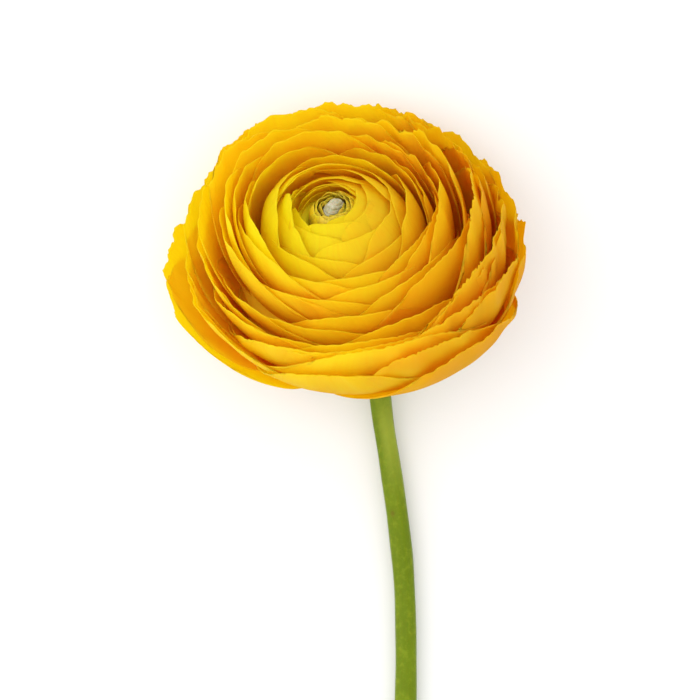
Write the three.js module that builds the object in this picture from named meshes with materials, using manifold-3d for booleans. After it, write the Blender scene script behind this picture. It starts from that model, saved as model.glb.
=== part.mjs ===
// A cut ranunculus (Persian buttercup) lying on a table: a golden double bloom of closely
// nested petals, a small olive heart round a pale folded bud, a green calyx and a cut stem.
// Millimetres, +Z up. The table is z = 0, the stem points to -Y and the bloom looks up.
import * as THREE from "three";
import { mergeVertices } from "three/addons/utils/BufferGeometryUtils.js";
import Module from "manifold-3d";

const wasm = await Module();
wasm.setup();

// How the bloom lies: its axis rises from the table and is turned a little to the left.
const BLOOM_RISE_DEG = 45;
const BLOOM_TURN_DEG = 7;
const BLOOM_BASE = new THREE.Vector3(1.4, -1.2, 18);

// The eye sits off the middle: the higher in the bloom, the further to the left. The bud and
// the heart round it are oval, longest this way.
const BLOOM_LEAN = -0.17;
const OVAL_DEG = 50;

// Petals of the golden bloom, counted from the lowest guard petal inward. The guard petals,
// which make the outline, are spaced evenly and closely, the others closer toward the eye.
const PETAL_COUNT = 51;
const INWARD_CROWDING = 1.3;
const GUARD_COUNT = 15;
const GUARD_SPACING = 0.0147;
const FIRST_PETAL_DEG = -46;
const GOLDEN_ANGLE_DEG = 137.508;
const PETAL_THICKNESS = 0.65;
const PETAL_SEED = 19;
const PETAL_ROWS = 3;
const PETAL_GRIDS = [
  { within: 0.3, across: 4 },
  { within: 0.7, across: 5 },
  { within: 1, across: 6 },
];

// The nest of petals. Each row is one place in it: how far out it is from 0 to 1, then the
// profile of a petal there as a cubic curve of [radius, height] points from root to rim, half
// the petal's width, how far up the curve it leaves the core, and how much its sides droop.
const NEST = [
  { at: 0.0, curve: [[5, 16], [11, 19], [12.5, 31], [5.2, 36.9]], half: 9, root: 0.45, droop: 0.16 },
  { at: 0.08, curve: [[5.5, 14], [14, 17], [16, 31.5], [5.8, 37.9]], half: 13, root: 0.45, droop: 0.16 },
  { at: 0.16, curve: [[6, 12], [18, 14], [20.5, 32], [7.4, 38.8]], half: 18, root: 0.45, droop: 0.18 },
  { at: 0.26, curve: [[6, 10], [20, 11], [23, 32], [10.8, 40.5]], half: 23, root: 0.38, droop: 0.2 },
  { at: 0.33, curve: [[6.5, 9], [22.5, 8.5], [26, 31], [18, 43]], half: 26, root: 0.34, droop: 0.22 },
  { at: 0.55, curve: [[7, 6.5], [25, 5], [31.5, 24], [28, 42.5]], half: 29, root: 0.3, droop: 0.24 },
  { at: 0.75, curve: [[7.5, 5], [29, 3.5], [39.5, 18], [37.8, 37.3]], half: 31, root: 0.26, droop: 0.24 },
  { at: 0.9, curve: [[8, 3.5], [31, 0], [41.6, 11.5], [42.8, 29]], half: 34, root: 0.1, droop: 0.22 },
  { at: 1.0, curve: [[8.5, 2], [28, -3], [40, 4], [44.8, 19.5]], half: 31, root: 0.05, droop: 0.32 },
];

// How the golden petals differ from each other: each value may be off by this much.
const VARY = { lift: 1.1, azimuth: 6, half: 0.1, twist: 6, slant: 0.3, wrap: 0.06 };
const SLANT = 0.4;
const WAVES = 1.5;
const RUFFLE = [0.1, 0.5];
const SCALLOP = [0.003, 0.012];

// Where petals are shorter: those that face this way, by how much at most, and the shares over
// which that begins and ends. Toward the viewer they step down the ball, at the left the lowest
// ones stand out, and round the eye there is a small hollow.
const SHORTER = [
  { facing: -95, most: 0.26, begins: [0.03, 0.3], ends: [0.6, 0.92] },
  { facing: 178, most: 0.09, begins: [0.5, 0.8], ends: [0.88, 1] },
  { facing: 195, most: 0.16, begins: [-1, -0.5], ends: [0, 0.14] },
];

// Where the lowest petals splay or draw in: those that face this way, by how much out and down
// at the rim, and the shares over which that begins. The points of a profile follow the rim by
// these weights.
const SPLAYED = [
  { facing: 157, out: 3.8, down: 3.8 },
  { facing: 220, out: -4.8, down: 0 },
  { facing: -8, out: -1.2, down: 0 },
];
const SPLAY_BEGINS = [0.76, 0.95];
const SPLAY_NARROWNESS = 3;
const SPLAY_WEIGHTS = [0, 0.3, 0.8, 1];

// The rims are frilled most on this side and nearly smooth on the other, where they keep at
// least these shares of their scallops and waves.
const FRILL_DEG = 40;
const LEAST_FRILL = 0.2;
const LEAST_RUFFLE = 0.4;

// A petal's outline: narrow at the root, widest past the middle, rounded off at the rim. The
// waves of its rim fade out below the shares of its length where the rim zones start.
const PETAL_OUTLINE = { rootWidth: 0.3, swellEnd: 0.65, roundStart: 0.7, roundLoss: 0.5 };
const RUFFLE_START = 0.6;
const SCALLOP_START = 0.8;
const SMALLEST_WRAP_RADIUS = 2;
const RIM_CROWDING = 1.5;

// The solid base that the golden petals stand out of, as [radius, height].
const CORE = [
  [0, 1], [9, 1], [24, 4.5], [33, 11], [34.5, 17], [29, 21], [22, 23],
  [17, 25], [14, 28.5], [11.2, 31], [8.8, 32.4], [7.4, 31.2], [7.2, 27.1], [0, 27.1],
];
const CORE_SIDES = 24;

// The heart: small folded petals on a base of their own in the hollow of the bloom. It is less
// oval from its inner to its outer petals.
const HEART_COUNT = 12;
const HEART_SEED = 5;
const HEART_BASE = [[0, 27.6], [5.6, 27.6], [5.6, 30.5], [4.6, 32.5], [3.25, 32.5], [3.25, 29.5], [0, 29.5]];
const HEART_INNER = { curve: [[3.6, 29.5], [4, 32], [4.2, 34.5], [3.1, 36.2]], half: 2.8 };
const HEART_OUTER = { curve: [[5.1, 29], [6.1, 31.2], [6.1, 33.6], [3.9, 35.8]], half: 4.8 };
const HEART_OVALNESS = [0.12, 0.06];
const BASE_OVALNESS = 0.15;
const HEART_LIFT = 0.5;
const HEART_VARY_DEG = 8;
const HEART_SIDES = 14;
const HEART_GRID = [3, 2];

// The folded bud in the middle, as [radius, height].
const BUD = [[0, 29.8], [2.4, 29.8], [2.6, 32], [2.5, 34.6], [2.2, 36], [1.5, 36.8], [0, 37.1]];
const BUD_SIDES = 12;
const BUD_OVALNESS = 0.17;

// The calyx: the flower's base with five sepals that spread below the petals.
const CALYX_BASE = [[0, -6.6], [3.2, -6.6], [5, -4.6], [8.4, -1.4], [8.8, 0.7], [0, 0.7]];
const CALYX_SIDES = 16;
const SEPAL_COUNT = 5;
const FIRST_SEPAL_DEG = 54;
const SEPAL = {
  curve: [[5, -1.9], [10, -2.1], [15.5, -2.6], [20, -4]],
  half: 6.2,
  wrap: 0.8,
  outline: { rootWidth: 0.75, swellEnd: 0.5, roundStart: 0.35, roundLoss: 0.85 },
};
const SEPAL_THICKNESS = 0.9;
const SEPAL_GRID = [4, 4];

// The plain shape that the heart's petals and the sepals start from.
const SMOOTH_PETAL = {
  outline: PETAL_OUTLINE,
  length: 1,
  root: 0.05,
  droop: 0.14,
  twist: 0,
  slant: 0,
  wrap: 1,
  waves: 1,
  phase: 0,
  ruffle: 0,
  scallop: 0,
  floor: 0,
};

// The stem's middle line, from below its neck to the cut end, and its thickness. The neck
// leaves the calyx square to it, at this height and for this length.
const NECK_TOP = -6.9;
const NECK_STRAIGHT = 2.5;
const STEM_LINE = [
  [4.1, -12.6, 8], [3.7, -19, 5.9], [4.5, -28, 4.7], [6.4, -40, 4], [8.4, -54, 3.6],
  [9.9, -68, 3.5], [10.5, -84, 3.4], [10.4, -102, 3.2], [9.4, -122, 3.1],
  [7.2, -142, 2.85], [4.4, -158, 2.62],
];
const STEM_RADIUS = 2.75;
const NECK_RADIUS = 3.1;
const NECK_END = 0.12;
const STEM_SIDES = 10;
const STEM_RINGS = 26;
const HOLLOW_RADIUS = 1.5;
const HOLLOW_DEPTH = 14;
const HOLLOW_RINGS = 2;

// The middle of the flower's outline in plan, which becomes the origin.
const PLAN_MIDDLE = [-5.45, -54.38];

// A repeatable stream of numbers from 0 to 1, so that every build gives the same flower.
function stream(seed) {
  let state = seed >>> 0;
  return () => {
    state = (Math.imul(state, 1664525) + 1013904223) >>> 0;
    return state / 4294967296;
  };
}

const radians = (degrees) => (degrees * Math.PI) / 180;
const mix = (a, b, share) => a + (b - a) * share;
const ease = (x) => {
  const c = Math.min(Math.max(x, 0), 1);
  return c * c * (3 - 2 * c);
};
const rising = (x, [from, to]) => ease((x - from) / (to - from));
const mixCurves = (a, b, share) => a.map((p, i) => p.map((value, j) => mix(value, b[i][j], share)));

// The place in the nest at a share from 0 to 1, between the two rows round it.
function nestAt(share) {
  const upper = Math.max(1, NEST.findIndex((row) => row.at >= share));
  const [a, b] = [NEST[upper - 1], NEST[upper]];
  const k = (share - a.at) / (b.at - a.at);
  return {
    curve: mixCurves(a.curve, b.curve, k),
    half: mix(a.half, b.half, k),
    root: mix(a.root, b.root, k),
    droop: mix(a.droop, b.droop, k),
  };
}

function cubic(points, t) {
  const [a, b, c, d] = [(1 - t) ** 3, 3 * t * (1 - t) ** 2, 3 * t * t * (1 - t), t ** 3];
  return [0, 1].map((j) => a * points[0][j] + b * points[1][j] + c * points[2][j] + d * points[3][j]);
}

// The petal's half width at a share t of its length, as a share of its widest.
function widthShare(outline, t) {
  const body = mix(outline.rootWidth, 1, ease(t / outline.swellEnd));
  const top = Math.max(0, (t - outline.roundStart) / (1 - outline.roundStart));
  return body * Math.sqrt(1 - outline.roundLoss * top * top);
}

// From the bloom's own frame, axis up, to the table's frame.
const squareToBloom = new THREE.Matrix4()
  .makeRotationZ(radians(BLOOM_TURN_DEG))
  .multiply(new THREE.Matrix4().makeRotationX(-radians(90 - BLOOM_RISE_DEG)));
const bloomToTable = squareToBloom
  .clone()
  .multiply(new THREE.Matrix4().makeShear(0, 0, 0, 0, BLOOM_LEAN, 0))
  .setPosition(BLOOM_BASE);

// Petals that would sink into the table lie flat on it, over a soft bend this wide. The first
// few from the outside lie on the table itself, the others a step higher each.
const PRESS_BEND = 0.6;
const PRESSED_FLAT = 4;
const PRESS_STEP = 0.17;
function pressed(z, floor) {
  const over = z - floor;
  if (over >= PRESS_BEND) return z;
  return over <= -PRESS_BEND ? floor : floor + (over + PRESS_BEND) ** 2 / (4 * PRESS_BEND);
}

// A thin closed blade from a grid of points on its middle surface. The two faces are split
// into triangles alike, so that a waved blade never crosses itself.
const TABLE_SNAP = 0.1;
function blade(grid, thickness) {
  const [rows, columns] = [grid.length, grid[0].length];
  const normals = grid.map((row, i) =>
    row.map((_, j) => {
      const along = grid[Math.min(i + 1, rows - 1)][j].clone().sub(grid[Math.max(i - 1, 0)][j]);
      const across = row[Math.min(j + 1, columns - 1)].clone().sub(row[Math.max(j - 1, 0)]);
      return across.cross(along).normalize();
    }),
  );
  const position = [];
  for (const side of [-1, 1])
    grid.forEach((row, i) =>
      row.forEach((point, j) => {
        const p = point.clone().addScaledVector(normals[i][j], (side * thickness) / 2);
        position.push(p.x, p.y, p.z < TABLE_SNAP ? 0 : p.z);
      }),
    );
  const at = (i, j, side) => side * rows * columns + i * columns + j;
  const index = [];
  const quad = (a, b, c, d) => index.push(a, b, c, a, c, d);
  for (let i = 0; i < rows - 1; i++)
    for (let j = 0; j < columns - 1; j++) {
      quad(at(i, j, 1), at(i, j + 1, 1), at(i + 1, j + 1, 1), at(i + 1, j, 1));
      index.push(at(i, j, 0), at(i + 1, j + 1, 0), at(i, j + 1, 0));
      index.push(at(i, j, 0), at(i + 1, j, 0), at(i + 1, j + 1, 0));
    }
  const rim = [];
  for (let j = 0; j < columns - 1; j++) rim.push([0, j]);
  for (let i = 0; i < rows - 1; i++) rim.push([i, columns - 1]);
  for (let j = columns - 1; j > 0; j--) rim.push([rows - 1, j]);
  for (let i = rows - 1; i > 0; i--) rim.push([i, 0]);
  rim.forEach(([i, j], k) => {
    const [m, n] = rim[(k + 1) % rim.length];
    quad(at(i, j, 0), at(m, n, 0), at(m, n, 1), at(i, j, 1));
  });
  return triangles(position, index);
}

function triangles(position, index) {
  const geometry = new THREE.BufferGeometry();
  geometry.setAttribute("position", new THREE.Float32BufferAttribute(position, 3));
  geometry.setIndex(index);
  return geometry;
}

// One petal's middle surface as a grid of points in the table's frame.
function petalGrid(petal, across, along) {
  const grid = [];
  for (let i = 0; i <= along; i++) {
    const t = mix(petal.root, 1, 1 - (1 - i / along) ** RIM_CROWDING);
    const row = [];
    for (let j = 0; j <= across; j++) {
      const s = (2 * j) / across - 1;
      const wave = Math.sin(2 * Math.PI * (petal.waves * s + petal.phase));
      const sides = petal.droop * Math.abs(s) ** 3 * ease(t);
      const scallops = petal.scallop * wave * ease((t - SCALLOP_START) / (1 - SCALLOP_START));
      const [radius, height] = cubic(petal.curve, petal.length * t * (1 - sides + scallops));
      const ruffle = petal.ruffle * wave * ease((t - RUFFLE_START) / (1 - RUFFLE_START));
      const out = radius + petal.slant * s * t + ruffle;
      const round = Math.max(radius, SMALLEST_WRAP_RADIUS) / petal.wrap;
      const turn = (s * petal.half * widthShare(petal.outline, t)) / round;
      const around = radians(petal.azimuth + petal.twist * t * t);
      const x = out - round + round * Math.cos(turn);
      const y = round * Math.sin(turn);
      const point = new THREE.Vector3(
        x * Math.cos(around) - y * Math.sin(around),
        x * Math.sin(around) + y * Math.cos(around),
        height,
      ).applyMatrix4(bloomToTable);
      point.z = pressed(point.z, petal.floor);
      row.push(point);
    }
    grid.push(row);
  }
  return grid;
}

// How far out in the nest a petal is, by its number from the outside.
function shareOf(number) {
  if (number < GUARD_COUNT) return 1 - GUARD_SPACING * number;
  const inward = (number - GUARD_COUNT) / (PETAL_COUNT - 1 - GUARD_COUNT);
  return (1 - GUARD_SPACING * GUARD_COUNT) * (1 - inward) ** INWARD_CROWDING;
}

// A profile with its rim raised.
function lifted(curve, lift) {
  return curve.map(([radius, height], k) => [radius, height + (k === 3 ? lift : 0)]);
}

// How far a petal faces a way, from 0 to 1.
const facingShare = (azimuth, facing) => Math.max(0, Math.cos(radians(azimuth - facing)));

// How long a petal is, by its place in the nest and the way it faces.
function lengthOf(share, azimuth) {
  return SHORTER.reduce((length, { facing, most, begins, ends }) => {
    const within = rising(share, begins) * (1 - rising(share, ends));
    return length - most * facingShare(azimuth, facing) * within;
  }, 1);
}

// A profile with its rim splayed or drawn in, where the petal is low in the nest.
function splayed(curve, share, azimuth) {
  return SPLAYED.reduce((profile, { facing, out, down }) => {
    const much = facingShare(azimuth, facing) ** SPLAY_NARROWNESS * rising(share, SPLAY_BEGINS);
    return profile.map(([radius, height], k) => [
      radius + out * much * SPLAY_WEIGHTS[k],
      height - down * much * SPLAY_WEIGHTS[k],
    ]);
  }, curve);
}

// Where each golden petal stands and how it is shaped.
function goldenPetals() {
  const random = stream(PETAL_SEED);
  const about = (spread) => spread * (2 * random() - 1);
  const petals = [];
  for (let i = 0; i < PETAL_COUNT; i++) {
    const share = shareOf(i);
    const place = nestAt(share);
    const lift = about(VARY.lift);
    const azimuth = FIRST_PETAL_DEG - i * GOLDEN_ANGLE_DEG + about(VARY.azimuth);
    const frill = mix(LEAST_FRILL, 1, (1 + Math.cos(radians(azimuth - FRILL_DEG))) / 2);
    petals.push({
      ...place,
      outline: PETAL_OUTLINE,
      curve: splayed(lifted(place.curve, lift), share, azimuth),
      azimuth,
      length: lengthOf(share, azimuth),
      half: place.half * (1 + about(VARY.half)),
      twist: about(VARY.twist),
      slant: SLANT + about(VARY.slant),
      wrap: 1 + about(VARY.wrap),
      waves: WAVES + random(),
      phase: random(),
      ruffle: mix(...RUFFLE, share) * mix(LEAST_RUFFLE, 1, frill),
      scallop: mix(...SCALLOP, share) * frill,
      floor: PETAL_THICKNESS / 2 + PRESS_STEP * Math.max(0, i - PRESSED_FLAT),
      share,
    });
  }
  return petals;
}

// How much wider the heart is this way, in radians, than on average.
const oval = (turn, ovalness) => 1 + ovalness * Math.cos(2 * (turn - radians(OVAL_DEG)));

// The small petals of the heart, folded over the bud.
function heartPetals() {
  const random = stream(HEART_SEED);
  const about = (spread) => spread * (2 * random() - 1);
  return Array.from({ length: HEART_COUNT }, (_, i) => {
    const share = i / (HEART_COUNT - 1);
    const lift = about(HEART_LIFT);
    const azimuth = i * GOLDEN_ANGLE_DEG + about(HEART_VARY_DEG);
    const wide = oval(radians(azimuth), mix(...HEART_OVALNESS, share));
    const curve = lifted(mixCurves(HEART_INNER.curve, HEART_OUTER.curve, share), lift);
    return {
      ...SMOOTH_PETAL,
      curve: curve.map(([radius, height]) => [radius * wide, height]),
      half: mix(HEART_INNER.half, HEART_OUTER.half, share),
      azimuth,
      twist: about(HEART_VARY_DEG),
      slant: 0.15,
    };
  });
}

// The five sepals, evenly spread.
function sepals() {
  return Array.from({ length: SEPAL_COUNT }, (_, i) => ({
    ...SMOOTH_PETAL,
    ...SEPAL,
    azimuth: FIRST_SEPAL_DEG + (360 / SEPAL_COUNT) * i,
  }));
}

// A closed three.js geometry as a manifold-3d solid, its points welded within this distance.
const WELD = 1e-4;
function solid(geometry) {
  const bare = geometry.clone();
  bare.deleteAttribute("normal");
  bare.deleteAttribute("uv");
  const merged = mergeVertices(bare, WELD);
  return new wasm.Manifold(
    new wasm.Mesh({
      numProp: 3,
      vertProperties: new Float32Array(merged.attributes.position.array),
      triVerts: new Uint32Array(merged.index.array),
    }),
  );
}

// The largest body of a joined solid, with details finer than this left out, and with them loose
// scraps and sealed hollows.
const FINEST = 0.002;
function wholeBody(joined) {
  const bodies = joined.simplify(FINEST).decompose();
  return bodies.reduce((best, body) => (body.volume() > best.volume() ? body : best));
}

function meshOf(joined, name, colour, roughness) {
  const made = joined.getMesh();
  const geometry = new THREE.BufferGeometry();
  geometry.setAttribute("position", new THREE.BufferAttribute(made.vertProperties, 3));
  geometry.setIndex(new THREE.BufferAttribute(made.triVerts, 1));
  geometry.computeVertexNormals();
  const material = new THREE.MeshStandardMaterial({ color: colour, roughness, metalness: 0 });
  const mesh = new THREE.Mesh(geometry, material);
  mesh.name = name;
  return mesh;
}

// A solid turned about the bloom's axis, round or oval, in the table's frame.
function turned(profile, sides, ovalness = 0) {
  const points = profile.map(([radius, height]) => new THREE.Vector2(radius, height));
  const geometry = new THREE.LatheGeometry(points, sides);
  geometry.rotateX(Math.PI / 2);
  const place = geometry.attributes.position;
  for (let i = 0; i < place.count; i++) {
    const wide = oval(Math.atan2(place.getY(i), place.getX(i)), ovalness);
    place.setXY(i, place.getX(i) * wide, place.getY(i) * wide);
  }
  geometry.applyMatrix4(bloomToTable);
  return solid(geometry);
}

// The golden bloom: its core with every petal joined to it.
function goldenBloom() {
  let joined = turned(CORE, CORE_SIDES);
  for (const petal of goldenPetals()) {
    const { across } = PETAL_GRIDS.find((grid) => petal.share <= grid.within);
    joined = joined.add(solid(blade(petalGrid(petal, across, PETAL_ROWS), PETAL_THICKNESS)));
  }
  return wholeBody(joined);
}

function heart() {
  let joined = turned(HEART_BASE, HEART_SIDES, BASE_OVALNESS);
  for (const petal of heartPetals())
    joined = joined.add(solid(blade(petalGrid(petal, ...HEART_GRID), PETAL_THICKNESS)));
  return wholeBody(joined);
}

function calyx() {
  let joined = turned(CALYX_BASE, CALYX_SIDES);
  for (const sepal of sepals())
    joined = joined.add(solid(blade(petalGrid(sepal, ...SEPAL_GRID), SEPAL_THICKNESS)));
  return wholeBody(joined);
}

// A round closed bar along a curve, with its radius at each share of its length.
function bar(curve, rings, sides, radiusAt, from, to) {
  const position = [];
  const index = [];
  for (let i = 0; i <= rings; i++) {
    const share = mix(from, to, i / rings);
    const centre = curve.getPointAt(share);
    const tangent = curve.getTangentAt(share);
    const sideways = new THREE.Vector3(0, 0, 1).cross(tangent).normalize();
    const upward = tangent.clone().cross(sideways);
    for (let j = 0; j < sides; j++) {
      const angle = (2 * Math.PI * j) / sides;
      const p = centre
        .clone()
        .addScaledVector(sideways, radiusAt(share) * Math.cos(angle))
        .addScaledVector(upward, radiusAt(share) * Math.sin(angle));
      position.push(p.x, p.y, p.z);
      if (i === rings) continue;
      const next = (j + 1) % sides;
      const [a, b, c, d] = [i * sides + j, i * sides + next, (i + 1) * sides + next, (i + 1) * sides + j];
      index.push(a, b, c, a, c, d);
    }
  }
  const caps = position.length / 3;
  for (const share of [from, to]) position.push(...curve.getPointAt(share).toArray());
  for (let j = 0; j < sides; j++) {
    const next = (j + 1) % sides;
    index.push(caps, next, j, caps + 1, rings * sides + j, rings * sides + next);
  }
  return solid(triangles(position, index));
}

function stem() {
  const top = new THREE.Vector3(0, 0, NECK_TOP).applyMatrix4(bloomToTable);
  const rise = new THREE.Vector3(0, 0, 1).transformDirection(squareToBloom);
  const neck = top.clone().addScaledVector(rise, -NECK_STRAIGHT);
  const rest = STEM_LINE.map((p) => new THREE.Vector3(...p));
  const curve = new THREE.CatmullRomCurve3([top, neck, ...rest]);
  const thickness = (share) => mix(NECK_RADIUS, STEM_RADIUS, ease(share / NECK_END));
  const whole = bar(curve, STEM_RINGS, STEM_SIDES, thickness, 0, 1);
  const hollowFrom = 1 - HOLLOW_DEPTH / curve.getLength();
  const hollow = bar(curve, HOLLOW_RINGS, STEM_SIDES, () => HOLLOW_RADIUS, hollowFrom, 1);
  const outward = curve.getTangentAt(1);
  return wholeBody(whole.subtract(hollow).subtract(hollow.translate(outward.x, outward.y, outward.z)));
}

// All of it moved so that the origin is on the table at the middle of the outline.
const flower = new THREE.Group();
flower.add(meshOf(goldenBloom(), "petals", 0xf0b010, 0.6));
flower.add(meshOf(heart(), "heart_petals", 0xa9a518, 0.6));
flower.add(meshOf(wholeBody(turned(BUD, BUD_SIDES, BUD_OVALNESS)), "centre", 0xb9bd8a, 0.7));
flower.add(meshOf(calyx(), "calyx", 0x6f8f22, 0.7));
flower.add(meshOf(stem(), "stem", 0x7d9a24, 0.6));
for (const mesh of flower.children) mesh.geometry.translate(-PLAN_MIDDLE[0], -PLAN_MIDDLE[1], 0);

export default flower;
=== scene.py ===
# A cut golden ranunculus lying on a pale table, seen from above. Metres, +Z up, the stem
# points to -Y. Shapes are worked out in millimetres and turned into metres in the meshes.
import math

import bpy
import numpy as np
from mathutils import Matrix, Vector


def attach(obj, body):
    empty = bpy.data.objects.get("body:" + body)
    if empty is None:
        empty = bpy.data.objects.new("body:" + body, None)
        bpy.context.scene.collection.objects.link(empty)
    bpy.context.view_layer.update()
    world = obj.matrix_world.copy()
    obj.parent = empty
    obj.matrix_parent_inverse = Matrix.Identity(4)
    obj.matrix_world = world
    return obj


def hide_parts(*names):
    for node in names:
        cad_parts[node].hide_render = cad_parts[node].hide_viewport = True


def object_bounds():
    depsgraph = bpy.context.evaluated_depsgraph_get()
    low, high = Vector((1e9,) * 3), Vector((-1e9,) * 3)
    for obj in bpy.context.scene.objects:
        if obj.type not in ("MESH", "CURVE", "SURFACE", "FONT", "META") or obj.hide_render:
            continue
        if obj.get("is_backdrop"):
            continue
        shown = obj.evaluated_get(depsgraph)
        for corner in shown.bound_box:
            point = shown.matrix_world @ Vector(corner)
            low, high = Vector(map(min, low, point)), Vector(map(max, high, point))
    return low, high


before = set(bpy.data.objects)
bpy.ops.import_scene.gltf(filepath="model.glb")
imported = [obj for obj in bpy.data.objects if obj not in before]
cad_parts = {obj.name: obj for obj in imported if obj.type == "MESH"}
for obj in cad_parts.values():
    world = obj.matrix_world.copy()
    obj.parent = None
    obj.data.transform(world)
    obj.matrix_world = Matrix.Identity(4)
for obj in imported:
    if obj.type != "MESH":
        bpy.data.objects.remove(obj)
CAD_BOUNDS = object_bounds()
MM = 0.001

# How the bloom lies, the same as in the solids.
BLOOM_RISE_DEG = 45
BLOOM_TURN_DEG = 7
BLOOM_BASE = (1.4, -1.2, 18)
BLOOM_LEAN = -0.17
PLAN_MIDDLE = (-5.45, -54.38)

# The bud and the heart round it are oval, longest this way.
OVAL_DEG = 50

# Petals of the golden bloom, counted from the lowest guard petal inward.
PETAL_COUNT = 108
INWARD_CROWDING = 1.3
GUARD_COUNT = 36
GUARD_SPACING = 0.0061
FIRST_PETAL_DEG = -46
GOLDEN_ANGLE_DEG = 137.508
PETAL_THICKNESS = 0.42
SOLID_THICKNESS = 0.65
PETAL_SEED = 19
DETAIL_SEED = 77

# The nest of petals: how far out, profile from root to rim, half width, root and droop.
NEST = [
    (0.0, [(5, 16), (11, 19), (12.5, 31), (5.2, 36.9)], 9, 0.45, 0.16),
    (0.08, [(5.5, 14), (14, 17), (16, 31.5), (5.8, 37.9)], 13, 0.45, 0.16),
    (0.16, [(6, 12), (18, 14), (20.5, 32), (7.4, 38.8)], 18, 0.45, 0.18),
    (0.26, [(6, 10), (20, 11), (23, 32), (10.8, 40.5)], 23, 0.38, 0.2),
    (0.33, [(6.5, 9), (22.5, 8.5), (26, 31), (18, 43)], 26, 0.34, 0.22),
    (0.55, [(7, 6.5), (25, 5), (31.5, 24), (28, 42.5)], 29, 0.3, 0.24),
    (0.75, [(7.5, 5), (29, 3.5), (39.5, 18), (37.8, 37.3)], 31, 0.26, 0.24),
    (0.9, [(8, 3.5), (31, 0), (41.6, 11.5), (42.8, 29)], 34, 0.1, 0.22),
    (1.0, [(8.5, 2), (28, -3), (40, 4), (44.8, 19.5)], 31, 0.05, 0.32),
]
VARY = {"lift": 1.1, "azimuth": 6, "half": 0.1, "twist": 6, "slant": 0.3, "wrap": 0.06}
SLANT = 0.4
WAVES = 1.5
RUFFLE = (0.1, 0.5)
SCALLOP = (0.003, 0.012)

# Where petals are shorter: those that face this way, by how much at most, and the shares over
# which that begins and ends. Toward the viewer they step down the ball, at the left the lowest
# ones stand out, left of the eye there is a small hollow, and right of the ball they are low.
SHORTER = [
    (-95, 0.26, (0.03, 0.3), (0.66, 0.98)),
    (178, 0.09, (0.5, 0.8), (0.88, 1.0)),
    (195, 0.16, (-1, -0.5), (0, 0.14)),
    (20, 0.17, (0.1, 0.3), (0.4, 0.7)),
]

# Where petals splay or draw in: those that face this way, by how much out and down at the rim,
# and the shares over which that begins and ends.
SPLAYED = [
    (157, 3.8, 3.8, (0.76, 0.95), (2, 3)),
    (220, -4.8, 0, (0.76, 0.95), (2, 3)),
    (-8, -1.2, 0, (0.76, 0.95), (2, 3)),
    (195, -6, 0, (0.1, 0.75), (0.84, 0.97)),
    (15, -4, 0, (0.1, 0.75), (0.84, 0.97)),
    (165, 2.2, 0, (0.19, 0.25), (0.3, 0.9)),
]
SPLAY_NARROWNESS = 3
SPLAY_WEIGHTS = (0, 0.3, 0.8, 1)

# Left of the eye the petals end in points that stand off a little.
POINTED_FACING = 165
POINTED_NARROWNESS = 3
POINTED_START = (0.0, 0.05)
POINTED_END = (0.16, 0.24)
POINTED_TIP = (2.2, 3.2)
POINTED_OUTLINE = {"root_width": 0.3, "swell_end": 0.5, "round_start": 0.45, "round_loss": 0.97}

# The rims are frilled most on this side and nearly smooth on the other: with waves, scallops,
# teeth and, in some petals, a notch.
FRILL_DEG = 40
LEAST_FRILL = 0.2
LEAST_RUFFLE = 0.4
PETAL_OUTLINE = {"root_width": 0.3, "swell_end": 0.65, "round_start": 0.7, "round_loss": 0.5}
RUFFLE_START = 0.6
SCALLOP_START = 0.8
TEETH = 7
TEETH_UNEVENNESS = 2
LEAST_TEETH = 0.2
TOOTH = 0.03
FINE_WAVES = 2
FINE_SIZE = (0.2, 0.5)
FINE_TURNS = (2.6, 4.4)
NOTCHED_SHARE = 0.4
NOTCH_DEPTH = (0.006, 0.03)
NOTCH_PLACE = (-0.4, 0.4)
NOTCH_WIDTH = 0.13
SMALLEST_WRAP_RADIUS = 2
RIM_CROWDING = 1.5

# The lowest petals are pressed flat on the table, and each one after them a step higher. How
# softly they bend into that, how many lie lowest, and the step.
PRESS_BEND = 0.6
PRESSED_FLAT = 4
PRESS_STEP = 0.17

# A blade thins toward its sides over this share of its half width. Toward its tip it thins over
# a smaller share of its length, by this divisor.
THINNING_WIDTH = 0.25
TIP_THINNING = 1.6
SMALLEST_LATHE_RADIUS = 0.01


# Numbers

def stream(seed):
    """A repeatable stream of numbers from 0 to 1, the same one as the solids use."""
    state = seed

    def draw():
        nonlocal state
        state = (state * 1664525 + 1013904223) & 0xFFFFFFFF
        return state / 4294967296

    return draw


def mix(a, b, share):
    return a + (b - a) * share


def ease(x):
    c = np.clip(x, 0, 1)
    return c * c * (3 - 2 * c)


def rising(x, span):
    return float(ease((x - span[0]) / (span[1] - span[0])))


def cubic(points, t):
    weights = ((1 - t) ** 3, 3 * t * (1 - t) ** 2, 3 * t * t * (1 - t), t**3)
    return [sum(w * p[k] for w, p in zip(weights, points)) for k in (0, 1)]


def nest_at(share):
    upper = max(1, next(i for i, row in enumerate(NEST) if row[0] >= share))
    a, b = NEST[upper - 1], NEST[upper]
    k = (share - a[0]) / (b[0] - a[0])
    curve = [tuple(mix(u, v, k) for u, v in zip(p, q)) for p, q in zip(a[1], b[1])]
    return curve, mix(a[2], b[2], k), mix(a[3], b[3], k), mix(a[4], b[4], k)


# Places

SQUARE = (
    Matrix.Rotation(math.radians(BLOOM_TURN_DEG), 3, "Z")
    @ Matrix.Rotation(-math.radians(90 - BLOOM_RISE_DEG), 3, "X")
)
TO_TABLE = np.array(SQUARE) @ np.array([[1, 0, BLOOM_LEAN], [0, 1, 0], [0, 0, 1]])


def to_table(points):
    """Points of the bloom's own frame, axis up, in the flower's frame on the table."""
    placed = points @ TO_TABLE.T + np.array(BLOOM_BASE)
    return placed - np.array((*PLAN_MIDDLE, 0))


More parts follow.
